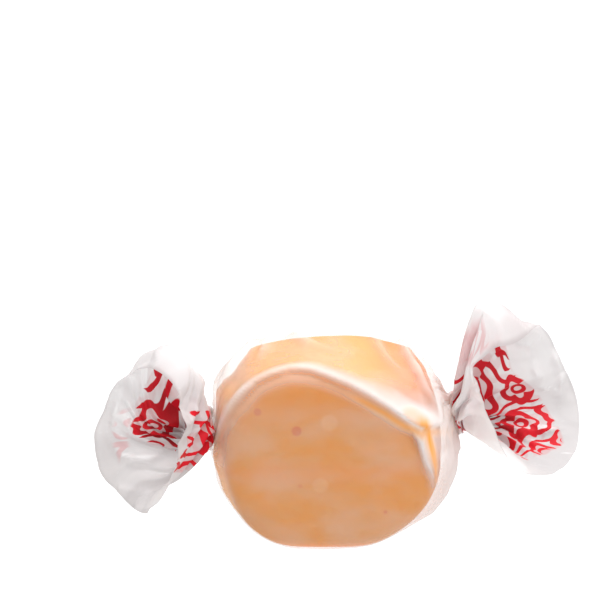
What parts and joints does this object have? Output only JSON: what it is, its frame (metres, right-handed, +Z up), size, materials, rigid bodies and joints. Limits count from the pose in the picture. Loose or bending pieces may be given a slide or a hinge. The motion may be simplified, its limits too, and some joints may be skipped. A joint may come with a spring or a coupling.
{
  "type": "wrapped salt water taffy",
  "caption": "Soft taffy slice standing on its rounded side in clear waxed paper, with the paper twisted at both ends and opened out as crumpled bells.",
  "frame": {"origin": "on the table, under the middle of the candy's flat foot", "axes": "+X from the left twist to the right twist, +Y away from the viewer, +Z up"},
  "size_m": [0.0578, 0.0212, 0.0298],
  "materials": {
    "soft_taffy": "soft pale orange sugar candy, slightly translucent, with a faint waxy sheen",
    "waxed_paper": null
  },
  "bodies": {
    "root": {"taffy": "soft_taffy", "wrapper": "waxed_paper"}
  },
  "joints": []
}
